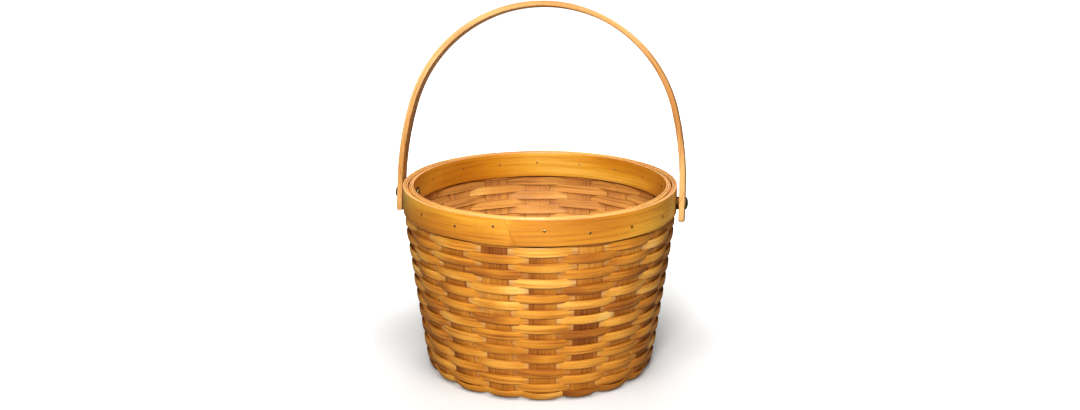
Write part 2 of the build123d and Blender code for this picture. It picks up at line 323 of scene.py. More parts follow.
class Sheet:
    """A node tree that is being laid out."""

    def __init__(self, tree: bpy.types.NodeTree) -> None:
        """Starts on an empty tree."""
        self.tree = tree

    def node(self, kind: str, **settings: object) -> bpy.types.Node:
        """Adds a node and sets its properties."""
        made = self.tree.nodes.new(kind)
        for key, value in settings.items():
            setattr(made, key, value)
        return made

    def link(self, start: bpy.types.NodeSocket, end: bpy.types.NodeSocket) -> None:
        """Links one socket to another."""
        self.tree.links.new(start, end)

    def feed(self, socket: bpy.types.NodeSocket, value: object) -> None:
        """Links a socket, or sets a plain value."""
        if isinstance(value, bpy.types.NodeSocket):
            self.link(value, socket)
        else:
            socket.default_value = value

    def math(self, operation: str, first: object, second: object = 0.0) -> bpy.types.NodeSocket:
        """One sum, and the socket that holds it."""
        made = self.node("ShaderNodeMath", operation=operation)
        self.feed(made.inputs[0], first)
        self.feed(made.inputs[1], second)
        return made.outputs[0]

    def stretch(self, vector: object, scale: Point, shift: Point = (0.0, 0.0, 0.0)) -> bpy.types.NodeSocket:
        """A vector scaled and moved along each axis."""
        made = self.node("ShaderNodeMapping")
        self.feed(made.inputs["Vector"], vector)
        made.inputs["Scale"].default_value = scale
        made.inputs["Location"].default_value = shift
        return made.outputs[0]

    def noise(self, vector: object, scale: object, detail: float, rough: float = 0.5) -> bpy.types.NodeSocket:
        """Soft noise from 0 to 1."""
        made = self.node("ShaderNodeTexNoise")
        self.feed(made.inputs["Vector"], vector)
        self.feed(made.inputs["Scale"], scale)
        made.inputs["Detail"].default_value = detail
        made.inputs["Roughness"].default_value = rough
        return made.outputs["Fac"]

    def span(self, value: object, low: float, high: float,
             out_low: float = 0.0, out_high: float = 1.0) -> bpy.types.NodeSocket:
        """A value moved smoothly from one range to another."""
        made = self.node("ShaderNodeMapRange", interpolation_type="SMOOTHSTEP")
        self.feed(made.inputs["Value"], value)
        for key, number in (("From Min", low), ("From Max", high), ("To Min", out_low), ("To Max", out_high)):
            self.feed(made.inputs[key], number)
        return made.outputs["Result"]

    def ramp(self, value: object, stops: Sequence[tuple[float, Colour]]) -> bpy.types.NodeSocket:
        """A colour ramp through these stops."""
        made = self.node("ShaderNodeValToRGB")
        elements = made.color_ramp.elements
        while len(elements) < len(stops):
            elements.new(0.5)
        for element, (place, colour) in zip(elements, stops):
            element.position = place
            element.color = (*colour, 1.0)
        self.feed(made.inputs["Fac"], value)
        return made.outputs["Color"]

    def blend(self, amount: object, first: object, second: object, kind: str = "MIX") -> bpy.types.NodeSocket:
        """Two colours mixed."""
        made = self.node("ShaderNodeMix", data_type="RGBA", blend_type=kind)
        self.feed(made.inputs["Factor"], amount)
        for key, value in (("A", first), ("B", second)):
            socket = [s for s in made.inputs if s.name == key and s.type == "RGBA"][0]
            self.feed(socket, (*value, 1.0) if isinstance(value, tuple) else value)
        return [s for s in made.outputs if s.type == "RGBA"][0]


def new_group(name: str, inputs: dict[str, tuple[str, float]],
              outputs: dict[str, str]) -> tuple[bpy.types.NodeTree, Sheet]:
    """Starts a shader node group with named sockets.

    Args:
        name: The group's name.
        inputs: Socket name to (kind, default).
        outputs: Socket name to kind.

    Returns:
        The group's tree and a sheet to lay it out on.
    """
    tree = bpy.data.node_groups.new(name, "ShaderNodeTree")
    for key, (kind, default) in inputs.items():
        socket = tree.interface.new_socket(key, in_out="INPUT", socket_type=kind)
        if kind == "NodeSocketFloat":
            socket.default_value = default
    for key, kind in outputs.items():
        tree.interface.new_socket(key, in_out="OUTPUT", socket_type=kind)
    return tree, Sheet(tree)


FLOAT = "NodeSocketFloat"


def fibre_group() -> bpy.types.NodeTree:
    """Wood fibre: long thin streaks, open pores and the height that goes with them.

    Returns:
        The node group.
    """
    tree, sheet = new_group(
        "wood_fibre",
        {"Vector": ("NodeSocketVector", 0.0), "Fineness": (FLOAT, 1.0), "Length": (FLOAT, 1.0)},
        {"Fibre": FLOAT, "Streak": FLOAT, "Pore": FLOAT, "Height": FLOAT},
    )
    entry = sheet.node("NodeGroupInput")
    leave = sheet.node("NodeGroupOutput")
    split = sheet.node("ShaderNodeSeparateXYZ")
    sheet.link(entry.outputs["Vector"], split.inputs[0])
    along = sheet.math("DIVIDE", split.outputs["X"], entry.outputs["Length"])
    across = sheet.math("MULTIPLY", split.outputs["Y"], entry.outputs["Fineness"])
    joined = sheet.node("ShaderNodeCombineXYZ")
    sheet.link(along, joined.inputs["X"])
    sheet.link(across, joined.inputs["Y"])
    sheet.link(split.outputs["Z"], joined.inputs["Z"])
    vector = joined.outputs[0]
    fibre = sheet.noise(sheet.stretch(vector, (26.0, 1500.0, 900.0)), 1.0, 3.0, 0.6)
    streak = sheet.noise(sheet.stretch(vector, (11.0, 330.0, 200.0), (3.1, 0.0, 0.0)), 1.0, 2.0, 0.55)
    pore = sheet.noise(sheet.stretch(vector, (90.0, 2600.0, 900.0), (7.7, 0.0, 0.0)), 1.0, 1.0)
    pore = sheet.span(pore, 0.60, 0.74)
    height = sheet.math("MULTIPLY", fibre, 0.55)
    height = sheet.math("ADD", height, sheet.math("MULTIPLY", streak, 0.45))
    height = sheet.math("SUBTRACT", height, sheet.math("MULTIPLY", pore, 0.35))
    for key, socket in (("Fibre", fibre), ("Streak", streak), ("Pore", pore), ("Height", height)):
        sheet.link(socket, leave.inputs[key])
    return tree


def edge_group() -> bpy.types.NodeTree:
    """How near a spot is to the edge of its strip, with a ragged line, for the darkening there: partly pooled
    stain, partly painted shade in the crevices between strips.

    Returns:
        The node group.
    """
    tree, sheet = new_group(
        "strip_edge",
        {"Vector": ("NodeSocketVector", 0.0), "Half Width": (FLOAT, 0.0043), "Depth": (FLOAT, 0.0008)},
        {"Edge": FLOAT},
    )
    entry = sheet.node("NodeGroupInput")
    leave = sheet.node("NodeGroupOutput")
    split = sheet.node("ShaderNodeSeparateXYZ")
    sheet.link(entry.outputs["Vector"], split.inputs[0])
    ragged = sheet.noise(sheet.stretch(entry.outputs["Vector"], (160.0, 20.0, 20.0)), 1.0, 2.0)
    ragged = sheet.math("MULTIPLY", sheet.math("SUBTRACT", ragged, 0.5), 0.0009)
    away = sheet.math("ADD", sheet.math("ABSOLUTE", split.outputs["Y"]), ragged)
    start = sheet.math("SUBTRACT", entry.outputs["Half Width"], entry.outputs["Depth"])
    sheet.link(sheet.span(away, start, entry.outputs["Half Width"]), leave.inputs["Edge"])
    return tree


def wear_group() -> bpy.types.NodeTree:
    """Handling marks: cloudy dull patches and small scuffs.

    Returns:
        The node group.
    """
    tree, sheet = new_group(
        "handling_wear",
        {"Vector": ("NodeSocketVector", 0.0), "Amount": (FLOAT, 0.5)},
        {"Patch": FLOAT, "Scuff": FLOAT},
    )
    entry = sheet.node("NodeGroupInput")
    leave = sheet.node("NodeGroupOutput")
    cloud = sheet.noise(entry.outputs["Vector"], 34.0, 4.0, 0.6)
    patch = sheet.math("MULTIPLY", sheet.span(cloud, 0.42, 0.66), entry.outputs["Amount"])
    specks = sheet.noise(entry.outputs["Vector"], 420.0, 2.0, 0.5)
    scuff = sheet.math("MULTIPLY", sheet.span(specks, 0.66, 0.76), entry.outputs["Amount"])
    sheet.link(patch, leave.inputs["Patch"])
    sheet.link(scuff, leave.inputs["Scuff"])
    return tree


STREAK_STAIN = (0.36, 0.125, 0.018)
PORE_STAIN = (0.30, 0.11, 0.02)
FIBRE_LIGHT = (0.88, 0.47, 0.09)
# Edge darkening: partly pooled stain, partly painted crevice shade.
EDGE_STAIN_AND_PAINTED_SHADE = (0.25, 0.075, 0.008)
SCUFF_TONE = (0.93, 0.66, 0.36)


def start_material(name: str) -> tuple[bpy.types.Material, Sheet]:
    """Starts an empty material.

    Args:
        name: The material's name.

    Returns:
        The material and a sheet to lay it out on.
    """
    material = bpy.data.materials.new(name)
    material.use_nodes = True
    material.node_tree.nodes.clear()
    return material, Sheet(material.node_tree)


@dataclass(frozen=True)
class WoodFinish:
    """One stained and varnished wood."""

    name: str
    tones: tuple[tuple[float, Colour], ...]
    half_width: float
    tone_length: float = 0.09
    tone_low: float = 0.30
    tone_high: float = 0.70
    own_tone: float = 0.0
    fineness: float = 1.0
    length: float = 1.0
    streak_dark: float = 0.35
    edge_dark: float = 0.35
    edge_depth: float = 0.0010
    # Pale tone and how far it is mixed in: paler inner faces, and a painted highlight on float ends and rim
    # tops.
    paler_and_painted_highlight_tone: Colour = (0.74, 0.42, 0.16)
    paler_and_painted_highlight_share: float = 0.4
    roughness: float = 0.42
    gloss: float = 0.45
    coat: float = 0.12
    bump: float = 0.00012

    def build(self, groups: dict[str, bpy.types.NodeTree]) -> bpy.types.Material:
        """Lays out the material.

        Args:
            groups: The shared effects by name.

        Returns:
            The material.
        """
        material, sheet = start_material(self.name)
        grain = sheet.node("ShaderNodeUVMap", uv_map=GRAIN_UV).outputs[0]
        place = sheet.node("ShaderNodeTexCoord").outputs["Object"]

        fibre = sheet.node("ShaderNodeGroup", node_tree=groups["fibre"])
        sheet.link(grain, fibre.inputs["Vector"])
        fibre.inputs["Fineness"].default_value = self.fineness
        fibre.inputs["Length"].default_value = self.length
        edge = sheet.node("ShaderNodeGroup", node_tree=groups["edge"])
        sheet.link(grain, edge.inputs["Vector"])
        edge.inputs["Half Width"].default_value = self.half_width
        edge.inputs["Depth"].default_value = self.edge_depth
        wear = sheet.node("ShaderNodeGroup", node_tree=groups["wear"])
        sheet.link(place, wear.inputs["Vector"])
        wear.inputs["Amount"].default_value = 0.5

        drift = sheet.noise(sheet.stretch(grain, (1.0 / self.tone_length, 14.0, 1.0)), 1.0, 1.0, 0.4)
        tone = sheet.span(drift, self.tone_low, self.tone_high)
        own = sheet.node("ShaderNodeAttribute", attribute_name=OWN_TONE).outputs["Fac"]
        drifting = sheet.math("MULTIPLY", tone, 1 - self.own_tone)
        tone = sheet.math("ADD", drifting, sheet.math("MULTIPLY", own, self.own_tone))
        streaked = sheet.math("SUBTRACT", fibre.outputs["Streak"], 0.5)
        tone = sheet.math("ADD", tone, sheet.math("MULTIPLY", streaked, 0.7))
        colour = sheet.ramp(tone, self.tones)
        # Lightening towards the pale tone: paler inner faces, and a painted highlight on float ends and rim
        # tops.
        paler_and_painted_highlight = sheet.node("ShaderNodeAttribute", attribute_name=PALER_AND_PAINTED_HIGHLIGHT).outputs["Fac"]
        colour = sheet.blend(sheet.math("MULTIPLY", paler_and_painted_highlight, self.paler_and_painted_highlight_share), colour, self.paler_and_painted_highlight_tone)
        dark = sheet.math("MULTIPLY", sheet.span(fibre.outputs["Streak"], 0.50, 0.30), self.streak_dark)
        colour = sheet.blend(dark, colour, STREAK_STAIN, "MULTIPLY")
        colour = sheet.blend(sheet.math("MULTIPLY", fibre.outputs["Pore"], 0.35), colour, PORE_STAIN)
        light = sheet.math("MULTIPLY", sheet.span(fibre.outputs["Fibre"], 0.50, 0.75), 0.22)
        colour = sheet.blend(light, colour, FIBRE_LIGHT)
        # Darker along the strip's edges: partly pooled stain, partly painted shade where strips meet.
        rim = sheet.math("MULTIPLY", edge.outputs["Edge"], self.edge_dark)
        colour = sheet.blend(rim, colour, EDGE_STAIN_AND_PAINTED_SHADE)
        colour = sheet.blend(sheet.math("MULTIPLY", wear.outputs["Scuff"], 0.25), colour, SCUFF_TONE)

        rough = sheet.math("ADD", self.roughness, sheet.math("MULTIPLY", wear.outputs["Patch"], 0.16))
        rough = sheet.math("ADD", rough, sheet.math("MULTIPLY", fibre.outputs["Pore"], 0.2))
        bump = sheet.node("ShaderNodeBump")
        bump.inputs["Strength"].default_value = 1.0
        bump.inputs["Distance"].default_value = self.bump
        sheet.link(fibre.outputs["Height"], bump.inputs["Height"])
        shader = sheet.node("ShaderNodeBsdfPrincipled")
        sheet.link(colour, shader.inputs["Base Color"])
        sheet.link(rough, shader.inputs["Roughness"])
        sheet.link(bump.outputs[0], shader.inputs["Normal"])
        shader.inputs["Coat Weight"].default_value = self.coat
        shader.inputs["Coat Roughness"].default_value = 0.28
        shader.inputs["Specular IOR Level"].default_value = self.gloss
        leave = sheet.node("ShaderNodeOutputMaterial")
        sheet.link(shader.outputs[0], leave.inputs["Surface"])
        return material


@dataclass(frozen=True)
class MetalFinish:
    """One dulled metal."""

    name: str
    bright: Colour
    dull: Colour
    roughness: float = 0.34
    tarnish_size: float = 260.0

    def build(self, groups: dict[str, bpy.types.NodeTree]) -> bpy.types.Material:
        """Lays out the material.

        Args:
            groups: The shared effects by name.

        Returns:
            The material.
        """
        material, sheet = start_material(self.name)
        place = sheet.node("ShaderNodeTexCoord").outputs["Object"]
        wear = sheet.node("ShaderNodeGroup", node_tree=groups["wear"])
        sheet.link(place, wear.inputs["Vector"])
        wear.inputs["Amount"].default_value = 1.0
        tarnish = sheet.noise(place, self.tarnish_size, 3.0, 0.6)
        colour = sheet.blend(sheet.span(tarnish, 0.35, 0.65), self.dull, self.bright)
        rough = sheet.math("ADD", self.roughness, sheet.math("MULTIPLY", wear.outputs["Patch"], 0.2))
        rough = sheet.math("ADD", rough, sheet.math("MULTIPLY", wear.outputs["Scuff"], 0.2))
        bump = sheet.node("ShaderNodeBump")
        bump.inputs["Strength"].default_value = 0.6
        bump.inputs["Distance"].default_value = 0.00008
        sheet.link(sheet.noise(place, 900.0, 3.0, 0.6), bump.inputs["Height"])
        shader = sheet.node("ShaderNodeBsdfPrincipled")
        sheet.link(colour, shader.inputs["Base Color"])
        sheet.link(rough, shader.inputs["Roughness"])
        sheet.link(bump.outputs[0], shader.inputs["Normal"])
        shader.inputs["Metallic"].default_value = 1.0
        leave = sheet.node("ShaderNodeOutputMaterial")
        sheet.link(shader.outputs[0], leave.inputs["Surface"])
        return material


# ---------------------------------------------------------------- the basket


def wall_radius(level: float) -> float:
    """Radius of the uprights' middle line at this height."""
    return float(np.interp(level, [z for _, z in WALL_LINE[1:]], [r for r, _ in WALL_LINE[1:]]))


def faces_in(centre: np.ndarray, normal: np.ndarray) -> np.ndarray:
    """Whether each face of the wall looks towards the axis."""
    return centre[:, 0] * normal[:, 0] + centre[:, 1] * normal[:, 1] < 0


def uneven(obj: bpy.types.Object, direction: str, strength: float, grain: float) -> None:
    """Adds the small unevenness of handwork.

    Args:
        obj: The piece.
        direction: Axis or NORMAL, along which places move.
        strength: Full range of the movement.
        grain: Size of one swell.
    """
    cloud = bpy.data.textures.new(f"{obj.name}_{direction.lower()}", "CLOUDS")
    cloud.noise_scale = grain
    cloud.noise_depth = 1
    shift = obj.modifiers.new(f"uneven {direction.lower()}", "DISPLACE")
    shift.texture = cloud
    shift.texture_coords = "LOCAL"
    shift.direction = direction
    shift.strength = strength
    shift.mid_level = 0.5


def copy_of(obj: bpy.types.Object, name: str) -> bpy.types.Object:
    """A copy with its own mesh.

    Args:
        obj: What is copied.
        name: The copy's name.

    Returns:
        The copy.
    """
    pick(obj)
    bpy.ops.object.duplicate(linked=False)
    return name_new(name)


def remove(obj: bpy.types.Object) -> None:
    """Deletes an object that was only a pattern."""
    pick(obj)
    bpy.ops.object.delete()


def join(first: bpy.types.Object, others: Sequence[bpy.types.Object]) -> None:
    """Joins the other objects into the first."""
    pick(first)
    for other in others:
        other.select_set(True)
    bpy.ops.object.join()


@dataclass(frozen=True)
class CornerRound:
    """One round on the rounded corner of the base, where each has a slant of its own."""

    radius: float
    level: float
    tilt: float
    height: float
    swing: float
    lift: float


CORNER_ROUNDS = (
    CornerRound(0.1206, 0.0049, 0.0044, 0.0080, 0.0022, 0.0040),
    CornerRound(0.1212, 0.0060, 0.0040, 0.0080, 0.0020, 0.0046),
    CornerRound(0.1240, 0.0162, 0.0022, 0.0098, 0.0022, 0.0),
)


@dataclass
class Weave:
    """The rounds of weaver, each a closed hoop that goes outside every other upright."""

    material: bpy.types.Material
    columns: int = 288
    thickness: float = 0.0012
    float_height: float = 0.0103
    gap_height: float = 0.0100
    crown: float = 0.00045
    swing: float = 0.0024
    rim_swing: float = 0.0018
    pitch: float = 0.00865
    first_level: float = 0.0117
    edge: float = 0.00032
    pattern_level: float = 0.09
    neck_level: float = 0.160
    rim_level: float = 0.172
    made: list[bpy.types.Object] = field(default_factory=list)

    def strip(self, name: str, middle: Spot, tilt: float, height: float, swing: float,
              lift: float = 0.0) -> bpy.types.Object:
        """Makes one flat hoop and swings it in and out.

        Args:
            name: The hoop's name.
            middle: Radius and height of its middle line.
            tilt: Radius gained from its lower to its upper edge.
            height: Distance from its lower to its upper edge, upwards.
            swing: How far it swings out of its middle line at each upright.
            lift: How much higher it is inside an upright than outside one.

        Returns:
            The hoop, still without thickness.
        """
        deselect_all()
        bpy.ops.mesh.primitive_cone_add(
            vertices=self.columns, radius1=middle[0] - tilt / 2, radius2=middle[0] + tilt / 2, depth=height,
            end_fill_type="NOTHING", location=(0, 0, middle[1]),
        )
        hoop = name_new(name)
        bpy.ops.object.transform_apply(location=True)
        split_edges(hoop, 2, 1e-5, 3)
        self.round_over(hoop, middle, tilt, height)
        self.swing_round(hoop, middle, swing, lift)
        return hoop

    def round_over(self, hoop: bpy.types.Object, middle: Spot, tilt: float, height: float) -> None:
        """Crowns the hoop's face between its edges.

        Args:
            hoop: The hoop.
            middle: Radius and height of its middle line.
            tilt: Radius gained from edge to edge.
            height: Distance from edge to edge.
        """
        for share in (-0.25, 0.0, 0.25):
            level = middle[1] + share * height
            radius = middle[0] + share * tilt
            grown = 1 + self.crown * (1 - 4 * share * share) / radius
            edit_where(hoop, lambda co, at=level: abs(co[2] - at) < 1e-5)
            bpy.ops.transform.resize(value=(grown, grown, 1), center_override=(0, 0, 0))
            leave_edit()

    def swing_round(self, hoop: bpy.types.Object, middle: Spot, swing: float, lift: float) -> None:
        """Moves each column in or out, and makes it taller over an upright than between two.

        Args:
            hoop: The hoop.
            middle: Radius and height of its middle line.
            swing: Farthest movement.
            lift: Rise from its outermost to its innermost column.
        """
        pairs = UPRIGHTS // 2
        places = np.empty(len(hoop.data.vertices) * 3, np.float32)
        hoop.data.vertices.foreach_get("co", places)
        places = places.reshape(-1, 3)
        phase = np.cos(pairs * np.arctan2(places[:, 1], places[:, 0]))
        steps = self.columns // pairs // 2
        for step in range(steps + 1):
            wave = math.cos(math.pi * step / steps)
            size = 1 + swing * wave / middle[0]
            share = self.gap_height + (self.float_height - self.gap_height) * wave * wave
            edit_chosen(hoop, np.abs(phase - wave) < 1e-4)
            bpy.ops.transform.resize(
                value=(size, size, share / self.float_height), center_override=(0, 0, middle[1]))
            if lift:
                bpy.ops.transform.translate(value=(0, 0, lift * (1 - wave) / 2))
            leave_edit()

    def finish_round(self, hoop: bpy.types.Object, index: int) -> None:
        """Gives a round its unevenness, thickness, grain and finish.

        Args:
            hoop: The hoop, turned and in place.
            index: Which round it is, from the base.
        """
        uneven(hoop, "Z", 0.0016, 0.045)
        uneven(hoop, "NORMAL", 0.0009, 0.03)
        thicken(hoop, self.thickness, self.edge)
        smooth(hoop, 35)
        low, high = (min(v.co.z for v in hoop.data.vertices), max(v.co.z for v in hoop.data.vertices))
        middle = (low + high) / 2
        radius = wall_radius(middle)
        start = (2 * (5 * index % (UPRIGHTS // 2)) + 1 + index % 2) * STEP
        lay_grain(hoop, lambda corner, centre: np.stack(
            (around_axis(corner, centre, start) * radius + index * 1.37, corner[:, 2] - middle), axis=1))
        lay_value(hoop, PALER_AND_PAINTED_HIGHLIGHT, lambda centre, normal: self.paler_and_painted_highlight(centre, normal, index))
        lay_value(hoop, OWN_TONE, lambda centre, normal: self.own_tone(centre, normal, index))
        dress(hoop, self.material)
        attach(hoop, Body.BASKET.value)
        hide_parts(f"weaver_row_{index + 1:02d}")
        self.made.append(hoop)

    @staticmethod
    def paler_and_painted_highlight(centre: np.ndarray, normal: np.ndarray, index: int) -> np.ndarray:
        """Paler inside, and a painted highlight on each float's ends, where a round dives under the next
        upright.

        Args:
            centre: Places of the faces.
            normal: Their directions.
            index: Which round it is, from the base.

        Returns:
            How far each face is lightened: paler inside, painted highlight at the float ends.
        """
        inside = faces_in(centre, normal)
        wave = np.cos(UPRIGHTS / 2 * np.arctan2(centre[:, 1], centre[:, 0])) * (1 - 2 * (index % 2))
        tone = 0.2 + Weave.own_tone(centre, normal, index)
        # Painted highlight: float ends where the round turns in are lightened, more on some floats than
        # others; inner faces are paler.
        return np.where(inside, 0.65, np.clip((-0.15 - wave) / 0.35, 0, 1) * tone)

    @staticmethod
    def own_tone(centre: np.ndarray, normal: np.ndarray, index: int) -> np.ndarray:
        """One tone for each float, changing only where an upright hides the strip.

        Args:
            centre: Places of the faces.
            normal: Their directions.
            index: Which round it is, from the base.

        Returns:
            Tone of each face.
        """
        pairs = UPRIGHTS // 2
        draw = np.random.default_rng(40 + index).normal(0.5, 0.24, 2 * pairs)
        inside = faces_in(centre, normal)
        turns = np.arctan2(centre[:, 1], centre[:, 0]) / (2 * STEP) - 0.5 * (inside != bool(index % 2))
        return draw[np.rint(turns).astype(int) % pairs + pairs * inside]

    def build(self) -> None:
        """Makes the rounds: corner and neck each by itself, and the wall's from one pattern."""
        wall_level, tall = self.pattern_level, self.float_height
        wall_lean = (wall_radius(0.12) - wall_radius(0.06)) / 0.06
        pattern = self.strip(
            "wall_pattern", (wall_radius(wall_level), wall_level), wall_lean * tall, tall, self.swing)
        for index in range(ROUNDS):
            level = self.first_level + (index - 2 + 0.5) * self.pitch
            name = f"weaver_round_{index + 1:02d}"
            if index < len(CORNER_ROUNDS):
                low = CORNER_ROUNDS[index]
                hoop = self.strip(name, (low.radius, low.level), low.tilt, low.height, low.swing, low.lift)
            elif level > self.neck_level:
                lean = (wall_radius(level + 0.004) - wall_radius(level - 0.004)) / 0.008
                swing = self.swing if level < self.rim_level else self.rim_swing
                hoop = self.strip(name, (wall_radius(level), level), lean * tall, tall, swing)
            else:
                hoop = copy_of(pattern, name)
                size = wall_radius(level) / wall_radius(wall_level)
                hoop.scale = (size, size, 1)
                hoop.location = (0, 0, level - wall_level)
                bpy.ops.object.transform_apply(location=True, scale=True)
            if index % 2:
                pick(hoop)
                hoop.rotation_euler = (0, 0, STEP)
                bpy.ops.object.transform_apply(rotation=True)
            self.finish_round(hoop, index)
        remove(pattern)


@dataclass
class Splints:
    """The wide splints: each crosses the base and turns up into two uprights."""

    material: bpy.types.Material
    width: float = SPLINT_WIDTH
    thickness: float = SPLINT_THICKNESS
    edge: float = 0.0003
    knee_room: float = 0.006
    middle_knee: float = 0.0975
    cup_radius: float = 0.140
    leg_start: float = 0.1040
    plateau: float = 0.0134
    made: list[bpy.types.Object] = field(default_factory=list)

    def strip(self, name: str, line: Sequence[Spot], offset: float) -> bpy.types.Object:
        """Lays a strip along a line in the XZ plane.

        Args:
            name: The strip's name.
            line: The line's points, as x and z.
            offset: The strip's place along Y.

        Returns:
            The strip, still without thickness.
        """
        (x0, z0), (x1, z1) = line[0], line[1]
        deselect_all()
        bpy.ops.mesh.primitive_plane_add(size=1, location=((x0 + x1) / 2, offset, z0))
        obj = name_new(name)
        obj.scale = (x1 - x0, self.width, 1)
        bpy.ops.object.transform_apply(location=True, scale=True)
        split_edges(obj, 1, 1e-4, 5)
        edit_where(obj, lambda co: co[0] > (x0 + x1) / 2)
        if abs(z1 - z0) > 1e-7:
            bpy.ops.transform.translate(value=(0, 0, z1 - z0))
        for (xa, za), (xb, zb) in zip(line[1:], line[2:]):
            bpy.ops.mesh.extrude_region_move(TRANSFORM_OT_translate={"value": (xb - xa, 0, zb - za)})
        leave_edit()
        return obj

    def leg(self) -> bpy.types.Object:
        """The pattern of all uprights, cupped to the wall's curve.

        Returns:
            The upright at angle 0.
        """
        leg = self.strip("upright_pattern", ((self.leg_start, BASE_LEVEL), *WALL_LINE), 0.0)
        for part in range(7):
            y = self.width * (part / 6 - 0.5)
            sag = self.cup_radius - math.sqrt(self.cup_radius ** 2 - y * y)
            if sag < 1e-6:
                continue
            for low, share in ((0.0020, 0.35), (0.0035, 0.35), (0.0060, 0.30)):
                edit_where(leg, lambda co, y=y, low=low: abs(co[1] - y) < 1e-4 and co[2] > low)
                bpy.ops.transform.translate(value=(-sag * share, 0, 0))
                leave_edit()
        return leg

    def bar_line(self, reach: float, crossings: Sequence[float], over_first: bool) -> list[Spot]:
        """The line of a splint across the base, over one splint and under the next.

        Args:
            reach: Half length of the straight part.
            crossings: Places of the splints that it crosses.
            over_first: Whether it is over the first one.

        Returns:
            Points as place along and height.
        """
        points = []
        for number, place in enumerate(crossings):
            side = STRAND_RISE if (number % 2 == 0) == over_first else -STRAND_RISE
            for shift, share in ((-1.055, 0.55), (-1.0, 1.0), (1.0, 1.0), (1.055, 0.55)):
                points.append((place + shift * self.plateau, BASE_LEVEL + side * share))
        ends = np.interp((-reach, reach), *zip(*points), left=BASE_LEVEL, right=BASE_LEVEL)
        inner = [point for point in points if abs(point[0]) < reach]
        return [(-reach, float(ends[0])), *inner, (reach, float(ends[1]))]

    def splint(self, name: str, leg: bpy.types.Object, offset: float, crossings: Sequence[float],
               over_first: bool, turn: float, serial: int) -> bpy.types.Object:
        """Makes one splint along X and turns it to its place.

        Args:
            name: The CAD node that it stands for.
            leg: The pattern of all uprights.
            offset: The splint's place across the base.
            crossings: Places of the splints that it crosses.
            over_first: Whether it is over the first one.
            turn: Its turn about the axis.
            serial: Its number, which sets its grain apart.

        Returns:
            The finished splint.
        """
        fan = offset / GRID_PITCH * STEP
        knee = offset / math.tan(fan) if abs(offset) > 1e-6 else self.middle_knee
        reach = knee - self.knee_room
        bar = self.strip(name + "_splint", self.bar_line(reach, crossings, over_first), offset)
        legs = []
        for side in (fan, math.pi - fan):
            upright = copy_of(leg, "upright")
            upright.rotation_euler = (0, 0, side)
            bpy.ops.object.transform_apply(rotation=True)
            legs.append(upright)
        join(bar, legs)
        for sign in (1, -1):
            self.select_ends(bar, reach, offset, fan, sign)
            bpy.ops.mesh.bridge_edge_loops(number_cuts=2, interpolation="LINEAR")
            leave_edit()
        outward(bar)
        uneven(bar, "NORMAL", 0.0004, 0.03)
        thicken(bar, self.thickness, self.edge)
        smooth(bar, 35)
        self.map_grain(bar, offset, fan, knee, serial)
        # Faces turned towards the axis are made paler.
        lay_value(bar, PALER_AND_PAINTED_HIGHLIGHT, lambda centre, normal: np.sum((centre - (0, 0, 0.12)) * normal, axis=1) < 0)
        bar.rotation_euler = (0, 0, turn)
        pick(bar)
        bpy.ops.object.transform_apply(rotation=True)
        return bar

    def select_ends(self, bar: bpy.types.Object, reach: float, offset: float, fan: float, sign: int) -> None:
        """Opens edit mode with the two facing ends of the bar and an upright selected as edges.

        Args:
            bar: The joined mesh.
            reach: Half length of the bar.
            offset: The bar's place along Y.
            fan: The upright's angle.
            sign: Which end of the bar, 1 or -1.
        """
        angle = fan if sign > 0 else math.pi - fan
        ray = (math.cos(angle), math.sin(angle))

        def at_end(co: Point) -> bool:
            """Whether a place is on either end."""
            on_bar = abs(co[0] - sign * reach) < 1e-5 and abs(co[1] - offset) < self.width / 2 + 1e-5
            along = co[0] * ray[0] + co[1] * ray[1]
            aside = -co[0] * ray[1] + co[1] * ray[0]
            return on_bar or (abs(along - self.leg_start) < 1e-5 and abs(aside) < self.width / 2 + 1e-5)

        edit_edges(bar, lambda first, second: at_end(first) and at_end(second))

    def map_grain(self, bar: bpy.types.Object, offset: float, fan: float, knee: float, serial: int) -> None:
        """Runs the grain along the bar and up both uprights.

        Args:
            bar: The splint, lying along X.
            offset: Its place along Y.
            fan: The angle of its upright on the +X side.
            knee: Where it turns.
            serial: Sets its grain apart from the others'.
        """

        def place(corner: np.ndarray, centre: np.ndarray) -> np.ndarray:
            """Grain map of one splint."""
            sign = np.where(centre[:, 0] >= 0, 1.0, -1.0)
            x, y = corner[:, 0] * sign, corner[:, 1]
            along = x * math.cos(fan) + y * math.sin(fan)
            aside = -x * math.sin(fan) + y * math.cos(fan)
            on_leg = centre[:, 0] * sign > knee
            u = np.where(on_leg, along + corner[:, 2], x) * sign
            v = np.where(on_leg, aside, y - offset)
            return np.stack((u + serial * 1.91, v), axis=1)

        lay_grain(bar, place)

    def build(self) -> None:
        """Makes the nine splints."""
        leg = self.leg()
        long_places = [GRID_PITCH * (i - (LONG_SPLINTS - 1) / 2) for i in range(LONG_SPLINTS)]
        cross_places = [GRID_PITCH * (i - (CROSS_SPLINTS - 1) / 2) for i in range(CROSS_SPLINTS)]
        for i, place in enumerate(long_places):
            self.place(f"splint_long_{i + 1}", leg, place, cross_places, i % 2 == 0, 0.0)
        for i, place in enumerate(cross_places):
            self.place(f"splint_cross_{i + 1}", leg, -place, long_places, i % 2 == 1, math.pi / 2)
        remove(leg)

    def place(self, node: str, leg: bpy.types.Object, offset: float, crossings: Sequence[float],
              over_first: bool, turn: float) -> None:
        """Makes one splint and gives it its finish and its body.

        Args:
            node: The CAD node that it stands for.
            leg: The pattern of all uprights.
            offset: Its place across the base.
            crossings: Places of the splints that it crosses.
            over_first: Whether it is over the first one.
            turn: Its turn about the axis.
        """
        made = self.splint(node, leg, offset, crossings, over_first, turn, len(self.made) + 1)
        dress(made, self.material)
        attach(made, Body.BASKET.value)
        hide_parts(node)
        self.made.append(made)


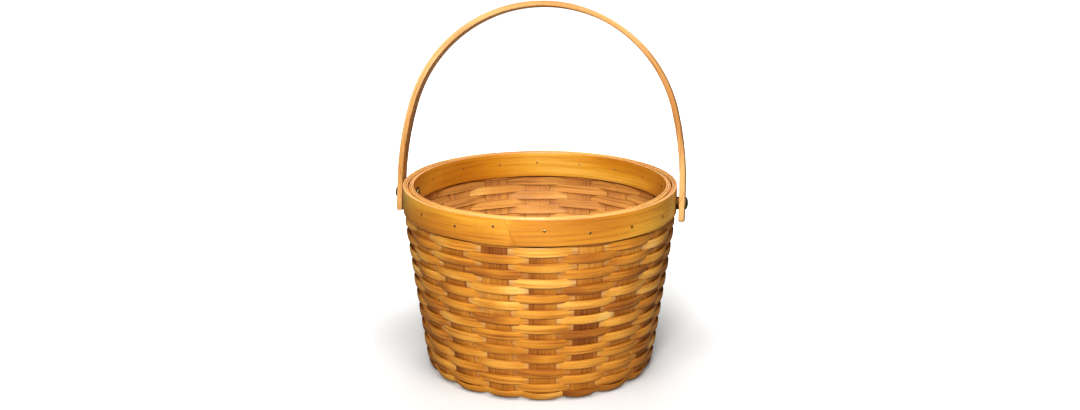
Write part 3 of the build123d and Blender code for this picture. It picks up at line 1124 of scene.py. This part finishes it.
@dataclass
class Rim:
    """The two bands, each bent round in two laps, and the tacks through them."""

    wood: bpy.types.Material
    metal: bpy.types.Material
    columns: int = 240
    lap_gap: float = 0.00016
    edge: float = 0.00045
    slant: float = 0.45
    seam_gap: float = 0.00012
    seam_lift: float = 0.00010
    seams_apart: float = 2.0
    filler_low: float = 0.2029
    filler_drop: float = 0.0008
    tack_sides: int = 10
    driven_off: dict[int, Spot] = field(default_factory=lambda: {
        10: (0.056, -0.0004), 11: (0.056, -0.0004), 12: (0.061, -0.0019), 13: (0.009, 0.0038),
        14: (0.011, 0.0008), 15: (-0.024, -0.0036), 16: (-0.038, -0.0044), 17: (-0.033, -0.0046)})
    made: list[bpy.types.Object] = field(default_factory=list)

    def lap(self, name: str, inside: float, outside: float, low: float, high: float,
            seam: float) -> bpy.types.Object:
        """Makes one lap of a band.

        Args:
            name: The lap's name.
            inside: Its inner radius.
            outside: Its outer radius.
            low: Height of its lower edge.
            high: Height of its upper edge.
            seam: Angle of its end.

        Returns:
            The lap.
        """
        middle = (inside + outside) / 2
        deselect_all()
        bpy.ops.mesh.primitive_cone_add(
            vertices=self.columns, radius1=middle, radius2=middle, depth=high - low, end_fill_type="NOTHING",
            location=(0, 0, (low + high) / 2),
        )
        lap = name_new(name)
        bpy.ops.object.transform_apply(location=True)
        split_edges(lap, 2, 1e-4, 5)
        if high - low > RIM_DEPTH / 2:
            self.cut_end(lap, seam, middle)
        uneven(lap, "Z", 0.0012, 0.09)
        thicken(lap, outside - inside, self.edge, 3)
        return lap

    def cut_end(self, lap: bpy.types.Object, seam: float, radius: float) -> None:
        """Cuts a lap open on a slant and lifts one end a little, where it lies over its own beginning.

        Args:
            lap: The lap.
            seam: Angle of the cut.
            radius: The lap's middle radius.
        """
        point = np.array((radius * math.cos(seam), radius * math.sin(seam), (RIM_LOW + RIM_TOP) / 2))
        normal = np.array((-math.sin(seam), math.cos(seam), self.slant))
        normal /= np.linalg.norm(normal)

        def ahead(co: Sequence[float]) -> float:
            """Distance of a place in front of the cut."""
            return float(np.dot(np.array(co) - point, normal))

        def near(co: Sequence[float]) -> bool:
            """Whether a place is on the seam's side of the band."""
            return co[0] * point[0] + co[1] * point[1] > 0

        for shift in (-self.seam_gap, self.seam_gap):
            edit_where(lap, lambda co: near(co) and abs(ahead(co)) < 0.03)
            bpy.ops.mesh.bisect(plane_co=tuple(point + normal * shift), plane_no=tuple(normal))
            leave_edit()
        clear_selection(lap, "FACE")
        for face in lap.data.polygons:
            face.select = bool(near(face.center) and abs(ahead(face.center)) < self.seam_gap)
        bpy.ops.object.mode_set(mode="EDIT")
        bpy.ops.mesh.delete(type="FACE")
        bpy.ops.mesh.select_mode(type="VERT")
        leave_edit()
        for reach in (0.004, 0.009, 0.015, 0.022):
            edit_where(lap, lambda co, reach=reach: near(co) and self.seam_gap / 2 < ahead(co) < reach)
            grown = 1 + self.seam_lift / radius
            bpy.ops.transform.resize(value=(grown, grown, 1), center_override=(0, 0, 0))
            leave_edit()

    def band(self, name: str, node: str, span: Spot, filler: Spot, seam: float) -> None:
        """Makes one band of two laps and the thin filler strip beside it.

        Args:
            name: The band's name.
            node: The CAD node that it stands for.
            span: Its inner and outer radius.
            filler: Inner and outer radius of its filler.
            seam: Angle of its visible end.
        """
        middle = sum(span) / 2
        visible_outside = span[0] > filler[0]
        drops = (0.0006, 0.0) if visible_outside else (0.0, 0.0007)
        low, high = ([RIM_LOW + drop / 2 for drop in drops], [RIM_TOP - drop for drop in drops])
        inner = self.lap(name, span[0], middle - self.lap_gap, low[0], high[0], seam + self.seams_apart)
        outer = self.lap(name + "_lap", middle + self.lap_gap, span[1], low[1], high[1], seam)
        strip = self.lap(name + "_filler", *filler, self.filler_low, RIM_TOP - self.filler_drop, seam)
        join(inner, [outer, strip])
        smooth(inner, 35)
        level = (RIM_LOW + RIM_TOP) / 2
        first = 5.3 if visible_outside else 9.1

        def place(corner: np.ndarray, centre: np.ndarray) -> np.ndarray:
            """Grain along each lap."""
            reach = np.hypot(centre[:, 0], centre[:, 1])
            apart = np.where(reach > middle, 0.0, 2.3)
            along = around_axis(corner, centre, seam) * middle + first + apart
            out = np.hypot(corner[:, 0], corner[:, 1])
            return np.stack((along, corner[:, 2] - level + out - middle), axis=1)

        lay_grain(inner, place)
        # Top faces paler: partly the cut edge's own lighter wood, partly a painted highlight.
        lay_value(inner, PALER_AND_PAINTED_HIGHLIGHT, lambda centre, normal: normal[:, 2] > 0.5)
        dress(inner, self.wood)
        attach(inner, Body.BASKET.value)
        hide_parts(node)
        self.made.append(inner)

    def tack(self) -> bpy.types.Object:
        """The pattern of all tacks: a thin shank with a domed head outside and a clinched end inside.

        Returns:
            The tack at angle 0.
        """
        start, end = INNER_BAND[0] - 0.0001, OUTER_BAND[1] + 0.0001
        deselect_all()
        bpy.ops.mesh.primitive_cylinder_add(
            vertices=self.tack_sides, radius=0.0006, depth=end - start, end_fill_type="NGON",
            location=((start + end) / 2, 0, TACK_LEVEL), rotation=(0, math.pi / 2, 0),
        )
        tack = name_new("tack_pattern")
        bpy.ops.object.transform_apply(location=True, rotation=True)
        for place, push, sizes in ((end, 1, ((2.3, 0.0), (1.0, 0.00025), (0.62, 0.0003))),
                                   (start, -1, ((1.9, 0.0), (0.6, 0.00035)))):
            edit_where(tack, lambda co, at=place: abs(co[0] - at) < 1e-5)
            at = place
            for size, rise in sizes:
                bpy.ops.mesh.extrude_region_move(TRANSFORM_OT_translate={"value": (push * rise, 0, 0)})
                at += push * rise
                bpy.ops.transform.resize(value=(1, size, size), center_override=(at, 0, TACK_LEVEL))
            leave_edit()
        outward(tack)
        smooth(tack, 40)
        return tack

    def build(self) -> None:
        """Makes both bands and all the tacks."""
        self.band("outer_band", "rim_outer_band", OUTER_BAND, (0.1449, 0.1465), math.radians(-93))
        self.band("inner_band", "rim_inner_band", INNER_BAND, (0.1417, 0.1429), math.radians(-62))
        pattern = self.tack()
        draw = random.Random(11)
        tacks = []
        for index in range(UPRIGHTS):
            if index in RIVETED:
                continue
            tack = copy_of(pattern, "tacks" if not tacks else "tack")
            stray = (draw.uniform(-0.02, 0.02), draw.uniform(-0.0012, 0.0012))
            turn, rise = self.driven_off.get(index, stray)
            tack.rotation_euler = (0, 0, index * STEP + turn)
            tack.location = (0, 0, rise)
            bpy.ops.object.transform_apply(location=True, rotation=True)
            tacks.append(tack)
        join(tacks[0], tacks[1:])
        remove(pattern)
        dress(tacks[0], self.metal)
        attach(tacks[0], Body.BASKET.value)
        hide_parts("rim_tacks")
        self.made.append(tacks[0])


@dataclass
class Handle:
    """The bentwood handle, its rivets and their washers."""

    wood: bpy.types.Material
    metal: bpy.types.Material
    dull: bpy.types.Material
    inside: float = 0.1532
    outside: float = 0.1592
    width: float = 0.0205
    tail: float = 0.020
    shank: float = 0.014
    shoulder_angle: float = math.radians(15)
    shoulder_radius: float = 0.3371
    crown_level: float = 0.0617
    lean: float = math.radians(12)
    tail_corner: float = 0.003
    edge: float = 0.0011
    rivet_seat: float = 0.15955
    rivet_head: float = 0.0070
    rivet_dome: float = 0.0030
    rivet_rim: float = 0.0004
    rivet_shank: float = 0.0025
    rivet_end: float = 0.1372
    made: list[bpy.types.Object] = field(default_factory=list)

    def bow(self) -> None:
        """Bends the strip: leg, shoulder, crown, shoulder, leg, and leans it back about its pivots."""
        middle = (self.inside + self.outside) / 2
        deselect_all()
        bpy.ops.mesh.primitive_cube_add(size=1, location=(middle, 0, PIVOT + (self.shank - self.tail) / 2))
        bow = name_new("bow")
        bow.scale = (self.outside - self.inside, self.width, self.shank + self.tail)
        bpy.ops.object.transform_apply(location=True, scale=True)
        edit_where(bow, lambda co: co[2] > PIVOT)
        bends = (
            (self.shoulder_angle, 5, (self.outside - self.shoulder_radius, 0, PIVOT + self.shank)),
            (math.pi - 2 * self.shoulder_angle, 56, (0, 0, PIVOT + self.crown_level)),
            (self.shoulder_angle, 5, (self.shoulder_radius - self.outside, 0, PIVOT + self.shank)),
        )
        for angle, steps, centre in bends:
            bpy.ops.mesh.spin(steps=steps, angle=angle, center=centre, axis=(0, 1, 0))
        bpy.ops.mesh.extrude_region_move(TRANSFORM_OT_translate={"value": (0, 0, -self.shank - self.tail)})
        leave_edit()
        self.round_tails(bow)
        outward(bow)
        bevel = bow.modifiers.new("eased edges", "BEVEL")
        bevel.width = self.edge
        bevel.segments = 3
        bevel.limit_method = "ANGLE"
        bevel.angle_limit = math.radians(40)
        uneven(bow, "NORMAL", 0.0007, 0.09)
        apply_all(bow)
        smooth(bow, 35)
        level = PIVOT + self.crown_level

        def place(corner: np.ndarray, centre: np.ndarray) -> np.ndarray:
            """Grain along the bow."""
            angle = np.arctan2(corner[:, 2] - level, corner[:, 0])
            angle = np.where(angle < -math.pi / 2, angle + math.tau, angle)
            reach = np.hypot(corner[:, 2] - level, corner[:, 0])
            return np.stack((angle * middle + 3.3, corner[:, 1] + (reach - middle)), axis=1)

        lay_grain(bow, place)
        pick(bow)
        bow.rotation_euler = (-self.lean, 0, 0)
        bow.location = (0, -PIVOT * math.sin(self.lean), PIVOT - PIVOT * math.cos(self.lean))
        bpy.ops.object.transform_apply(location=True, rotation=True)
        dress(bow, self.wood)
        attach(bow, Body.HANDLE.value)
        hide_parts("handle")
        self.made.append(bow)

    def round_tails(self, bow: bpy.types.Object) -> None:
        """Rounds the corners at the ends of both legs."""
        end = PIVOT - self.tail + 1e-5
        edit_edges(bow, lambda first, second: max(first.z, second.z) < end and abs(first.x - second.x) > 1e-3)
        bpy.ops.mesh.bevel(offset=self.tail_corner, segments=4, affect="EDGES")
        bpy.ops.mesh.select_mode(type="VERT")
        leave_edit()

    def rivet(self) -> bpy.types.Object:
        """The pattern of both rivets: a low dome, a shank and a small spread end.

        Returns:
            The rivet on the +X side.
        """
        seat, head, shank = self.rivet_seat, self.rivet_head, self.rivet_shank
        cut = seat + self.rivet_rim
        deselect_all()
        bpy.ops.mesh.primitive_uv_sphere_add(
            segments=32, ring_count=16, radius=head, location=(seat, 0, PIVOT), rotation=(0, math.pi / 2, 0))
        rivet = name_new("rivet_pattern")
        bpy.ops.object.transform_apply(location=True, rotation=True)
        edit_where(rivet, lambda co: True)
        bpy.ops.transform.resize(value=(self.rivet_dome / head, 1, 1), center_override=(seat, 0, PIVOT))
        bpy.ops.mesh.select_all(action="SELECT")
        bpy.ops.mesh.bisect(
            plane_co=(cut, 0, PIVOT), plane_no=(1, 0, 0), clear_inner=True, use_fill=True)
        leave_edit()
        edit_where(rivet, lambda co: abs(co[0] - cut) < 1e-6)
        bpy.ops.mesh.extrude_region_move(TRANSFORM_OT_translate={"value": (seat - cut, 0, 0)})
        at = seat
        spread = ((0.0, 0.0042), (-0.0008, 0.0040), (-0.0006, 0.0028))
        for rise, radius in ((0.0, shank), (self.rivet_end - seat, shank), *spread):
            bpy.ops.mesh.extrude_region_move(TRANSFORM_OT_translate={"value": (rise, 0, 0)})
            at += rise
            bpy.ops.transform.resize(value=(1, radius / head, radius / head), center_override=(at, 0, PIVOT))
            head = radius
        leave_edit()
        outward(rivet)
        smooth(rivet, 30)
        return rivet

    def rivets(self) -> None:
        """Places both rivets."""
        pattern = self.rivet()
        for side, turn in (("right", 0.0), ("left", math.pi)):
            made = copy_of(pattern, f"{side}_rivet")
            made.rotation_euler = (0, 0, turn)
            bpy.ops.object.transform_apply(rotation=True)
            dress(made, self.metal)
            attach(made, Body.BASKET.value)
            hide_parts(f"rivet_{side}")
            self.made.append(made)
        remove(pattern)

    def washers(self) -> None:
        """Gives the CAD washers their dull metal."""
        for node in ("spacer_washer_left", "spacer_washer_right", "burr_washer_left", "burr_washer_right"):
            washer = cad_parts[node]
            if not washer.material_slots:
                washer.data.materials.append(None)
            for place in washer.material_slots:
                place.material = self.dull

    def build(self) -> None:
        """Makes the bow and its metal."""
        self.bow()
        self.rivets()
        self.washers()


# ---------------------------------------------------------------- the studio


@dataclass(frozen=True)
class Lamp:
    """One soft lamp: where it hangs, its side and its power."""

    name: str
    place: Point
    size: float
    energy: float


@dataclass
class Studio:
    """Pale floor with a painted shadow round the basket, soft lights and the camera."""

    floor_size: float = 40.0
    # Camera-only floor glow from near to far, and the distances it rises over: dim near the basket, a painted
    # shadow round its base.
    floor_glow_with_painted_shadow: Spot = (0.12, 0.95)
    painted_shadow_reach: Spot = (0.12, 0.68)
    floor_tone: Colour = (0.55, 0.55, 0.547)
    mirrored_tone: Colour = (0.10, 0.10, 0.10)
    aim: Point = (0, 0, 0.12)
    lamps: tuple[Lamp, ...] = (
        Lamp("key", (0.10, -1.9, 1.25), 0.5, 40),
        Lamp("top", (0.1, -0.7, 2.0), 0.8, 32),
        Lamp("back", (-0.2, 1.4, 1.8), 1.2, 18),
    )

    def floor(self) -> None:
        """Lays the floor. The camera sees it glow, dimmer near the basket, which paints shade round its base
        on top of the real shadows. Reflections see it dark.
        """
        deselect_all()
        bpy.ops.mesh.primitive_plane_add(size=self.floor_size, location=(0, 0, -0.0003))
        floor = name_new("floor")
        paint = bpy.data.materials.new("pale_floor")
        paint.use_nodes = True
        sheet = Sheet(paint.node_tree)
        shader = paint.node_tree.nodes["Principled BSDF"]
        shader.inputs["Roughness"].default_value = 0.9
        shader.inputs["Specular IOR Level"].default_value = 0.1
        shader.inputs["Emission Color"].default_value = (1, 1, 1, 1)
        rays = sheet.node("ShaderNodeLightPath").outputs
        tone = sheet.blend(rays["Is Glossy Ray"], self.floor_tone, self.mirrored_tone)
        sheet.link(tone, shader.inputs["Base Color"])
        place = sheet.node("ShaderNodeTexCoord").outputs["Object"]
        away = sheet.node("ShaderNodeVectorMath", operation="LENGTH")
        sheet.link(place, away.inputs[0])
        # Painted shadow: the glow the camera sees is dim near the basket and rises with distance.
        glow_with_painted_shadow = sheet.span(away.outputs["Value"], *self.painted_shadow_reach, *self.floor_glow_with_painted_shadow)
        sheet.link(sheet.math("MULTIPLY", rays["Is Camera Ray"], glow_with_painted_shadow), shader.inputs["Emission Strength"])
        floor.data.materials.append(paint)

    def hang(self, lamp: Lamp) -> None:
        """Hangs one lamp and turns it to the basket.

        Args:
            lamp: The lamp.
        """
        data = bpy.data.lights.new(lamp.name, "AREA")
        data.size = lamp.size
        data.energy = lamp.energy
        hung = bpy.data.objects.new(lamp.name, data)
        bpy.context.scene.collection.objects.link(hung)
        hung.location = lamp.place
        away = [lamp.place[i] - self.aim[i] for i in range(3)]
        flat = math.hypot(away[0], away[1])
        hung.rotation_euler = (math.atan2(flat, away[2]), 0, math.atan2(away[0], -away[1]))

    def camera(self) -> None:
        """Sets up the camera."""
        data = bpy.data.cameras.new("camera")
        data.lens = 50.24
        data.sensor_width = 36.0
        camera = bpy.data.objects.new("camera", data)
        bpy.context.scene.collection.objects.link(camera)
        camera.location = (0.2477, -1.5817, 0.6243)
        camera.rotation_euler = (math.radians(74.53), 0, math.radians(8.9))
        bpy.context.scene.camera = camera

    def build(self) -> None:
        """Builds the studio."""
        self.camera()
        self.floor()
        for lamp in self.lamps:
            self.hang(lamp)
        world = bpy.data.worlds.new("soft_white")
        bpy.context.scene.world = world
        world.use_nodes = True
        sky = world.node_tree.nodes["Background"]
        sky.inputs["Color"].default_value = (1, 1, 1, 1)
        sky.inputs["Strength"].default_value = 0.05
        view = bpy.context.scene.view_settings
        view.view_transform = "Standard"
        view.exposure = 0.22
        view.gamma = 0.86


HONEY = ((0.0, (0.22, 0.055, 0.003)), (0.25, (0.44, 0.150, 0.008)), (0.52, (0.64, 0.265, 0.020)),
         (0.78, (0.77, 0.390, 0.060)), (1.0, (0.87, 0.530, 0.150)))
AMBER = ((0.0, (0.25, 0.065, 0.002)), (0.35, (0.42, 0.140, 0.007)), (0.70, (0.54, 0.205, 0.013)),
         (1.0, (0.66, 0.300, 0.040)))
BAND = ((0.0, (0.49, 0.178, 0.005)), (0.4, (0.63, 0.268, 0.012)), (0.75, (0.75, 0.395, 0.036)),
        (1.0, (0.83, 0.500, 0.095)))
BLOND = ((0.0, (0.44, 0.210, 0.060)), (0.4, (0.60, 0.350, 0.135)), (0.75, (0.71, 0.450, 0.200)),
         (1.0, (0.80, 0.560, 0.300)))


def main() -> None:
    """Builds the basket round its frame and reports each piece."""
    logging.basicConfig(level=logging.INFO, format="%(message)s")
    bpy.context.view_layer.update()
    groups = {"fibre": fibre_group(), "edge": edge_group(), "wear": wear_group()}
    weaver = WoodFinish("weaver_splint", HONEY, 0.0049, tone_length=0.05, own_tone=0.65,
                        paler_and_painted_highlight_tone=(0.71, 0.44, 0.18), paler_and_painted_highlight_share=0.6, edge_dark=0.5).build(groups)
    splint = WoodFinish("upright_splint", AMBER, 0.01425, tone_length=0.12, edge_depth=0.002,
                        streak_dark=0.25).build(groups)
    rim = WoodFinish("band_wood", BAND, 0.0140, tone_length=0.16, streak_dark=0.16, edge_depth=0.0015,
                     edge_dark=0.1, paler_and_painted_highlight_tone=(0.80, 0.45, 0.19), paler_and_painted_highlight_share=0.8, roughness=0.38,
                     gloss=0.6, coat=0.35).build(groups)
    handle = WoodFinish("handle_wood", BLOND, 0.0125, tone_length=0.2, edge_depth=0.001, edge_dark=0.1,
                        gloss=0.15, coat=0.0, roughness=0.5).build(groups)
    rivet = MetalFinish("rivet_brass", (0.40, 0.30, 0.15), (0.07, 0.045, 0.018), 0.4).build(groups)
    washer = MetalFinish("washer_brass", (0.16, 0.085, 0.025), (0.06, 0.028, 0.008), 0.6).build(groups)
    tack = MetalFinish("tack_brass", (0.78, 0.60, 0.32), (0.05, 0.022, 0.006), 0.35, 1100.0).build(groups)

    Studio().build()
    parts = (Weave(weaver), Splints(splint), Rim(rim, tack), Handle(handle, rivet, washer))
    for part in parts:
        part.build()
        for piece in part.made:
            log.info("%s: %s, %d faces", type(part).__name__.lower(), piece.name, len(piece.data.polygons))


if __name__ == "__main__":
    main()
